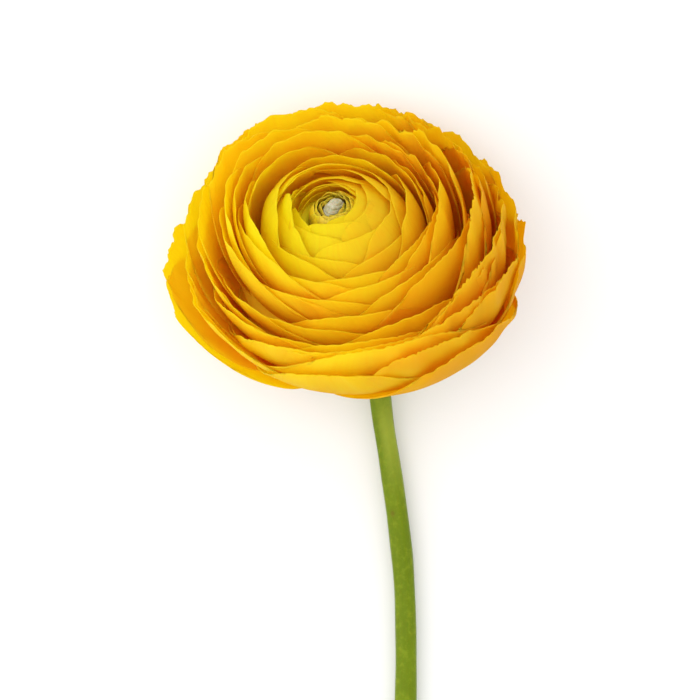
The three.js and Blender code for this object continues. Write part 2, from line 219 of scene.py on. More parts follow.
def pressed(z, floor):
    over = z - floor
    bent = floor + (over + PRESS_BEND) ** 2 / (4 * PRESS_BEND)
    return np.where(over >= PRESS_BEND, z, np.where(over <= -PRESS_BEND, floor, bent))


# Blades

def width_share(outline, t):
    body = mix(outline["root_width"], 1, ease(t / outline["swell_end"]))
    top = np.maximum(0, (t - outline["round_start"]) / (1 - outline["round_start"]))
    return body * np.sqrt(1 - outline["round_loss"] * top * top)


def petal_grid(petal, across, along):
    """The middle surface of a petal as a grid of points, and its s and t."""
    rows = np.arange(along + 1) / along
    t_line = mix(petal["root"], 1, 1 - (1 - rows) ** RIM_CROWDING)
    t, s = np.meshgrid(t_line, np.linspace(-1, 1, across + 1), indexing="ij")
    wave = np.sin(2 * math.pi * (petal["waves"] * s + petal["phase"]))
    fine = sum(
        size * np.sin(2 * math.pi * (turns * s + start)) for size, turns, start in petal["fine"]
    )
    teeth = petal["teeth"] * np.abs(np.sin(math.pi * (TEETH * s + TEETH_UNEVENNESS * fine)))
    sides = petal["droop"] * np.abs(s) ** 3 * ease(t)
    rim = ease((t - SCALLOP_START) / (1 - SCALLOP_START))
    scallops = petal["scallop"] * (wave + fine) * rim
    notch = petal["notch"] * np.exp(-(((s - petal["notch_at"]) / NOTCH_WIDTH) ** 2)) * rim
    reach = petal["length"] * t * (1 - sides + scallops - notch + teeth * rim)
    radius, height = cubic(petal["curve"], reach)
    ruffle = ease((t - RUFFLE_START) / (1 - RUFFLE_START)) * petal["ruffle"] * (wave + fine)
    out = radius + petal["slant"] * s * t + ruffle
    turn_radius = np.maximum(radius, SMALLEST_WRAP_RADIUS) / petal["wrap"]
    turn = s * petal["half"] * width_share(petal["outline"], t) / turn_radius
    around = np.radians(petal["azimuth"] + petal["twist"] * t * t)
    x = out - turn_radius + turn_radius * np.cos(turn)
    y = turn_radius * np.sin(turn)
    local = np.stack(
        [x * np.cos(around) - y * np.sin(around), x * np.sin(around) + y * np.cos(around), height],
        axis=-1,
    )
    points = to_table(local)
    points[..., 2] = pressed(points[..., 2], petal["floor"])
    return points, s, t


def blade(points, s, t, thickness, rim_share, marks):
    """A closed thin blade round a middle surface, with numbers for its material."""
    along = np.gradient(points, axis=0)
    across = np.gradient(points, axis=1)
    normal = np.cross(across, along)
    normal /= np.linalg.norm(normal, axis=-1, keepdims=True)
    edge = np.minimum(1 - np.abs(s), (1 - t) * TIP_THINNING)
    half = thickness / 2 * mix(rim_share, 1, ease(edge / THINNING_WIDTH))[..., None]
    rows, columns = s.shape
    sheets = [points - normal * half, points + normal * half]
    vertices = np.concatenate([sheet.reshape(-1, 3) for sheet in sheets])
    vertices[:, 2] = np.maximum(vertices[:, 2], 0)
    grid = np.arange(rows * columns).reshape(rows, columns)
    a, b, c, d = grid[:-1, :-1], grid[:-1, 1:], grid[1:, 1:], grid[1:, :-1]
    upper = rows * columns
    front = np.stack([a, b, c, d], -1).reshape(-1, 4) + upper
    back = np.stack([a, d, c, b], -1).reshape(-1, 4)
    rim = np.concatenate([grid[0, :-1], grid[:-1, -1], grid[-1, :0:-1], grid[:0:-1, 0]])
    after = np.roll(rim, -1)
    wall = np.stack([rim, after, after + upper, rim + upper], -1)
    faces = np.concatenate([front, back, wall])
    values = {"s": s, "t": t, **{name: np.full_like(s, value) for name, value in marks.items()}}
    numbers = {name: np.tile(value.reshape(-1), 2) for name, value in values.items()}
    numbers["inside"] = np.repeat([1.0, 0.0], rows * columns)
    return vertices, faces, numbers


def marks_of(petal):
    return {"share": petal["share"], "draw": petal["draw"]}


def mesh_piece(name, parts):
    """One object from closed parts: a smooth mesh with their numbers as attributes."""
    offset, vertices, faces = 0, [], []
    for v, f, _ in parts:
        vertices.append(v)
        faces.append(f + offset)
        offset += len(v)
    vertices, faces = np.concatenate(vertices) * MM, np.concatenate(faces)
    mesh = bpy.data.meshes.new(name)
    mesh.vertices.add(len(vertices))
    mesh.vertices.foreach_set("co", vertices.astype(np.float32).ravel())
    mesh.loops.add(faces.size)
    mesh.loops.foreach_set("vertex_index", faces.astype(np.int32).ravel())
    mesh.polygons.add(len(faces))
    mesh.polygons.foreach_set("loop_start", np.arange(0, faces.size, 4, dtype=np.int32))
    mesh.update(calc_edges=True)
    mesh.polygons.foreach_set("use_smooth", np.ones(len(faces), dtype=bool))
    for key in parts[0][2]:
        values = np.concatenate([numbers[key] for _, _, numbers in parts])
        attribute = mesh.attributes.new(key, "FLOAT", "POINT")
        attribute.data.foreach_set("value", values.astype(np.float32))
    mesh.validate()
    piece = bpy.data.objects.new(name, mesh)
    bpy.context.collection.objects.link(piece)
    return piece


def skin(points, marks):
    """A closed solid from rings of points with an even number of sides, its ends closed."""
    rings, sides = points.shape[:2]
    grid = np.arange(rings * sides).reshape(rings, sides)
    after = np.roll(grid, -1, axis=1)
    walls = np.stack([grid[:-1], after[:-1], after[1:], grid[1:]], -1).reshape(-1, 4)
    near = np.arange(sides // 2 - 1)
    corners = (near, near + 1, sides - 2 - near, sides - 1 - near)
    low = np.stack([grid[0][corner] for corner in reversed(corners)], -1)
    high = np.stack([grid[-1][corner] for corner in corners], -1)
    along = np.repeat(np.linspace(0, 1, rings), sides)
    around = np.tile(np.arange(sides) / sides, rings)
    numbers = {"s": around, "t": along, "inside": np.zeros(rings * sides)}
    numbers.update({name: np.full(rings * sides, value) for name, value in marks.items()})
    return points.reshape(-1, 3), np.concatenate([walls, low, high]), numbers


def hermite(a, b, left, right, k):
    """A point at share k from a to b, for the slopes at both."""
    return (
        (2 * k**3 - 3 * k**2 + 1) * a + (k**3 - 2 * k**2 + k) * left
        + (-2 * k**3 + 3 * k**2) * b + (k**3 - k**2) * right
    )


def smooth_profile(profile, steps):
    """More points along a profile of [radius, height] points, rounded between them."""
    points = np.array(profile, dtype=float)
    spaced = np.linspace(0, len(points) - 1, steps)
    i = np.minimum(spaced.astype(int), len(points) - 2)
    k = (spaced - i)[:, None]
    before, after = points[np.maximum(i - 1, 0)], points[np.minimum(i + 2, len(points) - 1)]
    a, b = points[i], points[i + 1]
    return hermite(a, b, (b - before) / 2, (after - a) / 2, k)


def oval(turn, amount):
    """How much wider the heart or the bud is this way than on average."""
    return 1 + amount * np.cos(2 * (turn - math.radians(OVAL_DEG)))


def turned(radius, height, turn, marks):
    """A closed solid about the bloom's axis, from the radius and height of each ring."""
    rings = np.stack([radius * np.cos(turn), radius * np.sin(turn), height + 0 * turn], -1)
    return skin(to_table(rings), marks)


def full_turn(sides):
    return np.linspace(0, 2 * math.pi, sides, endpoint=False)


def lathe(profile, sides, marks, ovalness=0.0):
    """A closed solid turned about the bloom's axis, from a profile given bottom to top."""
    turn, points = full_turn(sides), np.array(profile, dtype=float)
    radius = np.maximum(points[:, :1], SMALLEST_LATHE_RADIUS) * oval(turn, ovalness)
    return turned(radius, points[:, 1:], turn, marks)


# The golden bloom

def share_of(number):
    if number < GUARD_COUNT:
        return 1 - GUARD_SPACING * number
    inward = (number - GUARD_COUNT) / (PETAL_COUNT - 1 - GUARD_COUNT)
    return (1 - GUARD_SPACING * GUARD_COUNT) * (1 - inward) ** INWARD_CROWDING


def length_of(share, azimuth):
    length = 1
    for facing, most, start, end in SHORTER:
        toward = max(0, math.cos(math.radians(azimuth - facing)))
        length -= most * toward * rising(share, start) * (1 - rising(share, end))
    return length


def splayed(curve, share, azimuth):
    for facing, out, down, start, end in SPLAYED:
        toward = max(0, math.cos(math.radians(azimuth - facing))) ** SPLAY_NARROWNESS
        toward *= rising(share, start) * (1 - rising(share, end))
        curve = [
            (r + out * toward * weight, h - down * toward * weight)
            for (r, h), weight in zip(curve, SPLAY_WEIGHTS)
        ]
    return curve


def pointed(share, azimuth):
    toward = max(0, math.cos(math.radians(azimuth - POINTED_FACING))) ** POINTED_NARROWNESS
    return toward * rising(share, POINTED_START) * (1 - rising(share, POINTED_END))


def golden_petals():
    draw, detail = stream(PETAL_SEED), stream(DETAIL_SEED)

    def about(spread):
        return spread * (2 * draw() - 1)

    def fine_wave():
        return mix(*FINE_SIZE, detail()), mix(*FINE_TURNS, detail()), detail()

    petals = []
    for i in range(PETAL_COUNT):
        share = share_of(i)
        curve, half, root, droop = nest_at(share)
        lift = about(VARY["lift"])
        curve = [(r, h + (lift if k == 3 else 0)) for k, (r, h) in enumerate(curve)]
        azimuth = FIRST_PETAL_DEG - i * GOLDEN_ANGLE_DEG + about(VARY["azimuth"])
        frill = mix(LEAST_FRILL, 1, (1 + math.cos(math.radians(azimuth - FRILL_DEG))) / 2)
        point = pointed(share, azimuth)
        outline = {key: mix(value, POINTED_OUTLINE[key], point) for key, value in PETAL_OUTLINE.items()}
        curve[3] = tuple(at + point * off for at, off in zip(curve[3], POINTED_TIP))
        petals.append({
            "curve": splayed(curve, share, azimuth),
            "azimuth": azimuth,
            "length": length_of(share, azimuth),
            "half": half * (1 + about(VARY["half"])),
            "twist": about(VARY["twist"]),
            "slant": SLANT + about(VARY["slant"]),
            "wrap": 1 + about(VARY["wrap"]),
            "waves": WAVES + draw(),
            "phase": draw(),
            "ruffle": mix(*RUFFLE, share) * mix(LEAST_RUFFLE, 1, frill),
            "scallop": mix(*SCALLOP, share) * frill,
            "teeth": TOOTH * share * mix(LEAST_TEETH, 1, frill),
            "floor": SOLID_THICKNESS / 2 + PRESS_STEP * max(0, i - PRESSED_FLAT),
            "root": root,
            "droop": droop,
            "outline": outline,
            "share": share,
            "fine": [fine_wave() for _ in range(FINE_WAVES)],
            "notch": mix(*NOTCH_DEPTH, detail()) * (detail() < NOTCHED_SHARE) * frill,
            "notch_at": mix(*NOTCH_PLACE, detail()),
            "draw": detail(),
        })
    return petals


# The core stands in for the hidden lower halves of the petals: its profile, bottom to top.
CORE = [
    (0, 1.3), (8.6, 1.3), (22, 5), (29, 9.5), (30, 13), (27, 17), (22, 20),
    (17, 23.5), (14, 28), (11.2, 30.6), (8.8, 32), (7.4, 30.8), (7.2, 27.3), (0, 27.1),
]
CORE_SIDES = 64
PLAIN_MARKS = {"share": 0.5, "draw": 0.5}

# The golden pieces: from and up to which share, and the steps of a petal across and along.
ZONES = {"petals_inner": (0, 0.3), "petals_middle": (0.3, 0.72), "petals_guard": (0.72, 1.01)}
PETAL_STEPS = {"petals_inner": (22, 14), "petals_middle": (50, 16), "petals_guard": (66, 16)}

# A rim value is how thick a blade still is at its edge, as a share of its full thickness.
PETAL_RIM = 0.2

petals = golden_petals()
golden = []
for zone, (low, high) in ZONES.items():
    parts = [
        blade(*petal_grid(petal, *PETAL_STEPS[zone]), PETAL_THICKNESS, PETAL_RIM, marks_of(petal))
        for petal in petals if low <= petal["share"] < high
    ]
    golden.append(mesh_piece(zone, parts))
core = mesh_piece("bloom_core", [lathe(CORE, CORE_SIDES, PLAIN_MARKS)])

# The heart and the bud

HEART_COUNT = 26
HEART_SEED = 5
HEART_INNER = {"curve": [(2.9, 29.5), (3.2, 32), (3.4, 34.5), (2.5, 36.2)], "half": 2.6}
HEART_OUTER = {"curve": [(5.2, 29), (6.8, 31.2), (7.1, 34), (4.6, 36.5)], "half": 5.5}
HEART_LIFT = 0.5
HEART_VARY_DEG = 8
HEART_OVALNESS = (0.28, 0.1)
BASE_OVALNESS = 0.18
HEART_THICKNESS = 0.3
HEART_RIM = 0.5
HEART_STEPS = (14, 12)
BASE_SIDES = 32
HEART_BASE = [(0, 27.6), (5.5, 27.6), (5.5, 30.5), (4.4, 32.5), (2.8, 32.5), (2.7, 30), (0, 29.8)]

# A petal or sepal without the draws of the golden ones.
SMOOTH_PETAL = {
    "outline": PETAL_OUTLINE, "root": 0.05, "droop": 0.14, "twist": 0, "slant": 0, "wrap": 1,
    "waves": 1, "phase": 0, "ruffle": 0, "scallop": 0, "teeth": 0, "floor": 0, "fine": [],
    "notch": 0, "notch_at": 0, "length": 1,
}


def heart_petals():
    draw = stream(HEART_SEED)
    petals = []
    for i in range(HEART_COUNT):
        share = i / (HEART_COUNT - 1)
        curve = [
            tuple(mix(u, v, share) for u, v in zip(p, q))
            for p, q in zip(HEART_INNER["curve"], HEART_OUTER["curve"])
        ]
        lift = HEART_LIFT * (2 * draw() - 1)
        azimuth = i * GOLDEN_ANGLE_DEG + HEART_VARY_DEG * (2 * draw() - 1)
        wide = oval(math.radians(azimuth), mix(*HEART_OVALNESS, share))
        petals.append({
            **SMOOTH_PETAL,
            "curve": [(r * wide, h + (lift if k == 3 else 0)) for k, (r, h) in enumerate(curve)],
            "half": mix(HEART_INNER["half"], HEART_OUTER["half"], share),
            "azimuth": azimuth,
            "twist": HEART_VARY_DEG * (2 * draw() - 1),
            "slant": 0.15,
            "ruffle": 0.18,
            "scallop": 0.035,
            "phase": draw(),
            "share": share,
            "draw": draw(),
        })
    return petals


parts = [lathe(HEART_BASE, BASE_SIDES, PLAIN_MARKS, BASE_OVALNESS)]
for petal in heart_petals():
    grid = petal_grid(petal, *HEART_STEPS)
    parts.append(blade(*grid, HEART_THICKNESS, HEART_RIM, marks_of(petal)))
heart = mesh_piece("heart", parts)

BUD = [(0, 29.9), (2.0, 29.9), (2.3, 32), (2.5, 34.6), (2.3, 36.0), (1.5, 36.9), (0, 37.2)]
BUD_SIDES, BUD_RINGS = 96, 60
BUD_OVALNESS = 0.3
BUD_MARKS = {"share": 0, "draw": 0.3}

# The bud's folds wind round it: their depth and width, how far they sink, and from where up the
# bud, over how much of its height, each of the two grows.
BUD_FOLDS = 5
BUD_SPIRAL = 1.1
FOLD_DEPTH = 0.16
FOLD_WIDTH = 0.13
FOLD_START, FOLD_RUN = 0.3, 0.4
SINK_DEPTH = 0.25
SINK_START, SINK_RUN = 0.5, 0.3


def bud_solid():
    profile, turn = smooth_profile(BUD, BUD_RINGS), full_turn(BUD_SIDES)
    rise = np.linspace(0, 1, BUD_RINGS)[:, None]
    fold = (BUD_FOLDS * (turn + BUD_SPIRAL * 2 * math.pi * rise) / (2 * math.pi)) % 1
    crease = np.exp(-((np.minimum(fold, 1 - fold) / FOLD_WIDTH) ** 2))
    dent = 1 - FOLD_DEPTH * ease((rise - FOLD_START) / FOLD_RUN) * crease
    radius = np.maximum(profile[:, :1], SMALLEST_LATHE_RADIUS) * dent * oval(turn, BUD_OVALNESS)
    sunk = SINK_DEPTH * (1 - dent) / FOLD_DEPTH * ease((rise - SINK_START) / SINK_RUN)
    return turned(radius, profile[:, 1:] - sunk, turn, BUD_MARKS)


bud = mesh_piece("bud", [bud_solid()])

# The calyx

CALYX_BASE = [
    (0, -6.6), (3.0, -6.6), (3.3, -6.2), (5, -4.6), (8.2, -1.6), (8.7, 0.2), (8.2, 0.6), (0, 0.6),
]
CALYX_STEPS, CALYX_SIDES = 40, 48
CALYX_MARKS = {"share": 0, "draw": 0.5}
SEPAL_COUNT = 5
FIRST_SEPAL_DEG = 54
SEPAL_THICKNESS = 0.6
SEPAL_RIM = 0.4
SEPAL_STEPS = (18, 24)
SEPAL = {
    **SMOOTH_PETAL,
    "curve": [(5, -1.9), (10, -2.1), (15.5, -2.6), (20, -4)],
    "half": 6.2,
    "wrap": 0.8,
    "outline": {"root_width": 0.75, "swell_end": 0.5, "round_start": 0.35, "round_loss": 0.85},
    "ruffle": 0.3,
}
parts = [lathe(smooth_profile(CALYX_BASE, CALYX_STEPS), CALYX_SIDES, CALYX_MARKS)]
draw = stream(HEART_SEED)
for i in range(SEPAL_COUNT):
    azimuth = FIRST_SEPAL_DEG + 360 / SEPAL_COUNT * i
    sepal = {**SEPAL, "azimuth": azimuth, "phase": draw(), "share": 1, "draw": draw()}
    grid = petal_grid(sepal, *SEPAL_STEPS)
    parts.append(blade(*grid, SEPAL_THICKNESS, SEPAL_RIM, marks_of(sepal)))
calyx = mesh_piece("calyx_green", parts)

# The stem

# The stem's middle line, from the neck to the cut end: it leaves the calyx along the bloom's
# axis for a little, and then goes through these points of the table's frame.
NECK_TOP = -6.9
NECK_STRAIGHT = 2.5
STEM_LINE = [
    (4.1, -12.6, 8), (3.7, -19, 5.9), (4.5, -28, 4.7), (6.4, -40, 4), (8.4, -54, 3.6),
    (9.9, -68, 3.5), (10.5, -84, 3.4), (10.4, -102, 3.2), (9.4, -122, 3.1),
    (7.2, -142, 2.85), (4.4, -158, 2.62),
]
STEM_RADIUS = 2.75
NECK_RADIUS = 3.1
NECK_END = 0.12
STEM_RINGS, STEM_SIDES = 260, 40
SPAN_STEPS = 40
TANGENT_REACH = 0.5
STEM_MARKS = {"share": 0, "draw": 0}
HOLLOW_RADIUS = 1.5
HOLLOW_DEPTH = 14
HOLLOW_RINGS = 12
HOLLOW_FIRST = 1
CUT_BEVEL = 0.15
CUT_NARROWING = 0.2

# Ridges run along the stem and wind a little, and it swells and narrows along its length: by
# how much, how often and from where in the wave. It is made a little slimmer for them.
RIDGES = 9
RIDGE = 0.05
RIDGE_WINDING, RIDGE_WINDINGS = 1.4, 3
SWELLS = [(0.05, 23, 0), (0.04, 51, 1)]
SLIMMER = 0.06


def through(points, per_span):
    """A smooth line through the points, spaced by the roots of their distances."""
    line = [2 * points[0] - points[1], *points, 2 * points[-1] - points[-2]]
    out = []
    for p0, p1, p2, p3 in zip(line, line[1:], line[2:], line[3:]):
        gaps = [max(np.linalg.norm(b - a), 1e-9) ** 0.5 for a, b in ((p0, p1), (p1, p2), (p2, p3))]
        start = ((p1 - p0) / gaps[0] - (p2 - p0) / (gaps[0] + gaps[1]) + (p2 - p1) / gaps[1]) * gaps[1]
        end = ((p2 - p1) / gaps[1] - (p3 - p1) / (gaps[1] + gaps[2]) + (p3 - p2) / gaps[2]) * gaps[1]
        out += [hermite(p1, p2, start, end, k) for k in np.linspace(0, 1, per_span, endpoint=False)]
    out.append(line[-2])
    return np.array(out)


def stem_rings():
    top = to_table(np.array([[0, 0, NECK_TOP]]))[0]
    rise = np.array(SQUARE) @ np.array([0, 0, 1])
    rest = np.array(STEM_LINE) - np.array((*PLAN_MIDDLE, 0))
    fine = through([top, top - rise * NECK_STRAIGHT, *rest], SPAN_STEPS)
    lengths = np.concatenate([[0], np.cumsum(np.linalg.norm(np.diff(fine, axis=0), axis=1))])

    def at(distance):
        return np.array([np.interp(distance, lengths, fine[:, k]) for k in range(3)])

    def radius_at(share):
        ridge = RIDGE * np.cos(RIDGES * angle + RIDGE_WINDING * math.sin(RIDGE_WINDINGS * share))
        swell = sum(size * math.sin(speed * share + start) for size, speed, start in SWELLS)
        return mix(NECK_RADIUS, STEM_RADIUS, ease(share / NECK_END)) - SLIMMER + ridge + swell

    total = lengths[-1]
    angle = full_turn(STEM_SIDES)
    outside = np.linspace(0, total - CUT_BEVEL, STEM_RINGS)
    outer = [(distance, radius_at(distance / total)) for distance in outside]
    end = [
        (total, STEM_RADIUS - CUT_NARROWING),
        (total, HOLLOW_RADIUS + CUT_BEVEL),
        (total - CUT_BEVEL, HOLLOW_RADIUS),
    ]
    depths = np.linspace(HOLLOW_FIRST, HOLLOW_DEPTH, HOLLOW_RINGS)
    inner = [(total - depth, HOLLOW_RADIUS) for depth in depths]
    rings = []
    for distance, radius in outer + end + inner:
        ahead, behind = min(distance + TANGENT_REACH, total), max(distance - TANGENT_REACH, 0)
        tangent = at(ahead) - at(behind)
        tangent /= np.linalg.norm(tangent)
        sideways = np.cross((0, 0, 1), tangent)
        sideways /= np.linalg.norm(sideways)
        upward = np.cross(tangent, sideways)
        ring = at(distance) + np.outer(radius * np.cos(angle), sideways)
        ring += np.outer(radius * np.sin(angle), upward)
        ring[:, 2] = np.maximum(ring[:, 2], 0)
        rings.append(ring)
    return np.stack(rings)


stem = mesh_piece("stem_green", [skin(stem_rings(), STEM_MARKS)])


# Materials

class Shader:
    """A material with its shader, and short calls to add and join nodes."""

    def __init__(self, name):
        self.material = bpy.data.materials.new(name)
        self.material.use_nodes = True
        self.tree = self.material.node_tree
        self.shader = self.tree.nodes["Principled BSDF"]
        self.output = self.tree.nodes["Material Output"]

    def add(self, kind, inputs=(), **settings):
        node = self.tree.nodes.new(kind)
        for key, value in settings.items():
            setattr(node, key, value)
        for key, value in dict(inputs).items():
            self.put(node, key, value)
        return node

    def put(self, node, key, value):
        socket = node.inputs[key]
        if isinstance(value, bpy.types.NodeSocket):
            self.tree.links.new(value, socket)
        else:
            socket.default_value = value

    def number(self, name):
        """A number of the mesh: s across and t along, and the marks of its parts."""
        return self.add("ShaderNodeAttribute", attribute_name=name).outputs["Fac"]

    def maths(self, operation, *values):
        return self.add("ShaderNodeMath", enumerate(values), operation=operation).outputs[0]

    def times(self, a, b):
        return self.maths("MULTIPLY", a, b)

    def plus(self, a, b):
        return self.maths("ADD", a, b)

    def spread(self, value, low, high, to_low=0.0, to_high=1.0):
        """A number from to_low to to_high, while the value goes from low to high."""
        node = self.add("ShaderNodeMapRange", interpolation_type="SMOOTHSTEP")
        sockets = ("Value", "From Min", "From Max", "To Min", "To Max")
        for key, number in zip(sockets, (value, low, high, to_low, to_high)):
            self.put(node, key, number)
        return node.outputs[0]

    def blend(self, share, a, b):
        node = self.add("ShaderNodeMix", data_type="RGBA", blend_type="MIX")
        self.put(node, 0, share)
        self.put(node, 6, (*a, 1) if isinstance(a, tuple) else a)
        self.put(node, 7, (*b, 1) if isinstance(b, tuple) else b)
        return node.outputs[2]

    def noise(self, vector, scale, detail, roughness=0.5):
        inputs = {"Vector": vector, "Scale": scale, "Detail": detail, "Roughness": roughness}
        return self.add("ShaderNodeTexNoise", inputs).outputs[0]

    def place_on_piece(self):
        return self.add("ShaderNodeTexCoord").outputs["Object"]

    def place(self, x, y, z):
        return self.add("ShaderNodeCombineXYZ", {"X": x, "Y": y, "Z": z}).outputs[0]

    def distance(self, a, b):
        return self.add("ShaderNodeVectorMath", {0: a, 1: b}, operation="DISTANCE").outputs["Value"]

    def veins(self, across, along, offset):
        """Fine lines along a blade, so many across and along it, with an offset of its own."""
        s, t = self.times(self.number("s"), across), self.times(self.number("t"), along)
        return self.noise(self.place(s, t, offset), 1, 3)

    def bump(self, height, distance, strength):
        inputs = {"Height": height, "Distance": distance, "Strength": strength}
        return self.add("ShaderNodeBump", inputs).outputs[0]

    def finished(self, sockets):
        """The material, with these values and links on its shader."""
        for key, value in sockets.items():
            self.put(self.shader, key, value)
        return self.material


# Round this point, left of the eye, the petals are painted a brighter lemon: a painted highlight, in part
# their own lemon colour. Much light goes through a petal, and none through the core, so that it lights the
# creases over it.
BRIGHT_SPOT = (-0.0127, 0.0733, 0.045)
PETAL_TRANSLUCENCE = 0.65
CORE_TRANSLUCENCE = 0

# How far apart in the noise the veins of petals lie, and the tint at the bloom's top, where the painted
# side light, lemon at the left and deeper orange at the right, hardly changes from left to right.
VEIN_OFFSET = 40
TOP_TINT = 0.33


def petal_material(name, translucence):
    m = Shader(name)
    t, share, draw, inside = (m.number(mark) for mark in ("t", "share", "draw", "inside"))
    spot = m.place_on_piece()
    veins = m.veins(26, 2.2, m.times(draw, VEIN_OFFSET))
    cloud = m.noise(spot, 90, 2)
    lemon, gold, deep = (0.975, 0.92, 0.028), (0.975, 0.86, 0.026), (0.975, 0.71, 0.02)
    bright, right_shade = (0.975, 0.95, 0.018), (0.88, 0.54, 0.014)
    tint = m.plus(m.spread(share, 0.0, 0.5, 0.2, -0.05), m.spread(draw, 0, 1, -0.1, 0.1))
    tint = m.plus(tint, m.spread(cloud, 0.3, 0.7, -0.1, 0.1))
    # Painted light and shade: the petals are more lemon at the left, where light falls, and deeper orange
    # at the right, in shade, evened out toward the bloom's top.
    split = m.add("ShaderNodeSeparateXYZ", {0: spot})
    across, up = split.outputs["X"], split.outputs["Y"]
    painted_side_light = m.spread(across, -0.04, 0.045, 0.58, 0.2)
    evened = m.times(m.spread(up, 0.07, 0.1, 0, 0.9), m.maths("SUBTRACT", TOP_TINT, painted_side_light))
    tint = m.plus(tint, m.plus(painted_side_light, evened))
    colour = m.blend(m.spread(tint, 0.0, 0.5), deep, gold)
    colour = m.blend(m.spread(tint, 0.5, 1.0), colour, lemon)
    # A painted highlight, in part the petals' own lemon: brighter lemon round the spot left of the eye.
    colour = m.blend(m.spread(m.distance(spot, BRIGHT_SPOT), 0.006, 0.02, 0.8, 0), colour, bright)
    # Deeper orange toward the root, down in the creases: painted shade, in part the petals' own deeper
    # base.
    colour = m.blend(m.spread(t, 0.85, 0.5, 0, 0.8), colour, deep)
    # The inner faces a touch deeper orange: painted shade.
    colour = m.blend(m.times(inside, 0.06), colour, deep)
    colour = m.blend(m.spread(t, 0.955, 1.0, 0, 0.3), colour, gold)
    colour = m.blend(m.spread(veins, 0.35, 0.75, 0, 0.22), colour, deep)
    # Painted shade: the bloom's right side is a deeper orange.
    colour = m.blend(m.spread(across, 0.0, 0.035, 0, 0.3), colour, right_shade)
    behind = m.add("ShaderNodeBsdfTranslucent", {"Color": colour})
    both = m.add("ShaderNodeMixShader", {0: translucence})
    m.tree.links.new(m.shader.outputs[0], both.inputs[1])
    m.tree.links.new(behind.outputs[0], both.inputs[2])
    m.tree.links.new(both.outputs[0], m.output.inputs["Surface"])
    return m.finished({
        "Base Color": colour,
        "Roughness": m.spread(veins, 0.2, 0.8, 0.5, 0.62),
        "Specular IOR Level": 0.15,
        "Normal": m.bump(m.plus(veins, m.times(cloud, 0.5)), 0.00012, 0.7),
    })


def heart_material():
    m = Shader("heart_petal")
    t, share, draw = (m.number(mark) for mark in ("t", "share", "draw"))
    spot = m.place_on_piece()
    veins = m.veins(12, 2, m.times(draw, VEIN_OFFSET))
    olive, yellow, dark = (0.56, 0.40, 0.02), (0.88, 0.64, 0.008), (0.25, 0.13, 0.008)
    rim = (0.88, 0.72, 0.015)
    tint = m.plus(m.spread(share, 0.2, 1.0, 0.05, 0.8), m.spread(draw, 0, 1, -0.2, 0.2))
    colour = m.blend(tint, olive, yellow)
    # Paler toward the rim: a painted highlight.
    colour = m.blend(m.spread(t, 0.88, 1.0, 0, 0.3), colour, rim)
    colour = m.blend(m.spread(veins, 0.4, 0.8, 0, 0.45), colour, dark)
    # Darker toward the root, between the heart petals: painted shade.
    colour = m.blend(m.spread(t, 0.92, 0.6, 0, 0.8), colour, dark)
    return m.finished({
        "Base Color": colour,
        "Roughness": m.spread(veins, 0.2, 0.8, 0.45, 0.65),
        "Subsurface Weight": 0.15,
        "Subsurface Scale": 0.001,
        "Normal": m.bump(m.plus(veins, m.noise(spot, 1800, 1)), 0.0001, 0.6),
    })


def bud_material():
    m = Shader("bud")
    spot = m.place_on_piece()
    grain, cloud = m.noise(spot, 2600, 3), m.noise(spot, 420, 2)
    drab, pale, olive = (0.40, 0.37, 0.22), (0.62, 0.58, 0.44), (0.34, 0.33, 0.10)
    colour = m.blend(m.spread(cloud, 0.35, 0.65), drab, pale)
    colour = m.blend(m.spread(grain, 0.35, 0.7, 0, 0.4), colour, olive)
    return m.finished({
        "Base Color": colour,
        "Roughness": m.spread(grain, 0.3, 0.7, 0.6, 0.8),
        "Subsurface Weight": 0.2,
        "Subsurface Scale": 0.001,
        "Normal": m.bump(grain, 0.00015, 0.7),
    })


# A small brown fleck on the stem's upper side, and the side that has a painted highlight, a pale band below
# the neck.
STEM_FLECK = (0.0122, 0.0017, 0.0067)
HIGHLIGHT_SIDE_DEG = 60

# How closely the stem's streaks stand round it, and how short they are.
STREAK_WIDTH = 2.2
STREAK_LENGTH = 6


def stem_material():
    m = Shader("stem")
    t, spot = m.number("t"), m.place_on_piece()
    turn = m.times(m.number("s"), 2 * math.pi)
    x, y = (m.times(m.maths(name, turn), STREAK_WIDTH) for name in ("COSINE", "SINE"))
    streak = m.noise(m.place(x, y, m.times(t, STREAK_LENGTH)), 3.5, 4, 0.6)
    cloud, mottle, fuzz = m.noise(spot, 90, 3), m.noise(spot, 620, 3, 0.6), m.noise(spot, 2400, 2)
    pale, mid, dark = (0.26, 0.33, 0.014), (0.16, 0.23, 0.003), (0.11, 0.17, 0.002)
    painted_highlight, brown = (0.33, 0.40, 0.04), (0.16, 0.08, 0.01)
    colour = m.blend(m.spread(cloud, 0.35, 0.65, 0, 0.5), mid, dark)
    colour = m.blend(m.spread(streak, 0.4, 0.75, 0, 0.3), colour, dark)
    colour = m.blend(m.spread(mottle, 0.45, 0.75, 0, 0.45), colour, pale)
    colour = m.blend(m.spread(fuzz, 0.55, 0.8, 0, 0.35), colour, pale)
    # A painted highlight: a pale band on one side of the stem below the neck.
    side = m.maths("COSINE", m.maths("SUBTRACT", turn, math.radians(HIGHLIGHT_SIDE_DEG)))
    highlight_band = m.times(m.spread(t, 0.08, 0.17), m.spread(t, 0.17, 0.3, 1, 0))
    colour = m.blend(m.times(highlight_band, m.spread(side, 0.2, 1.0, 0, 0.75)), colour, painted_highlight)
    colour = m.blend(m.spread(m.distance(spot, STEM_FLECK), 0.0005, 0.0014, 0.5, 0), colour, brown)
    return m.finished({
        "Base Color": colour,
        "Roughness": m.spread(streak, 0.3, 0.7, 0.38, 0.55),
        "Specular IOR Level": 0.12,
        "Sheen Weight": 0.05,
        "Sheen Roughness": 0.35,
        "Sheen Tint": (0.85, 1.0, 0.6, 1),
        "Subsurface Weight": 0.15,
        "Subsurface Scale": 0.0015,
        "Normal": m.bump(m.plus(mottle, m.times(fuzz, 0.4)), 0.00015, 0.6),
    })


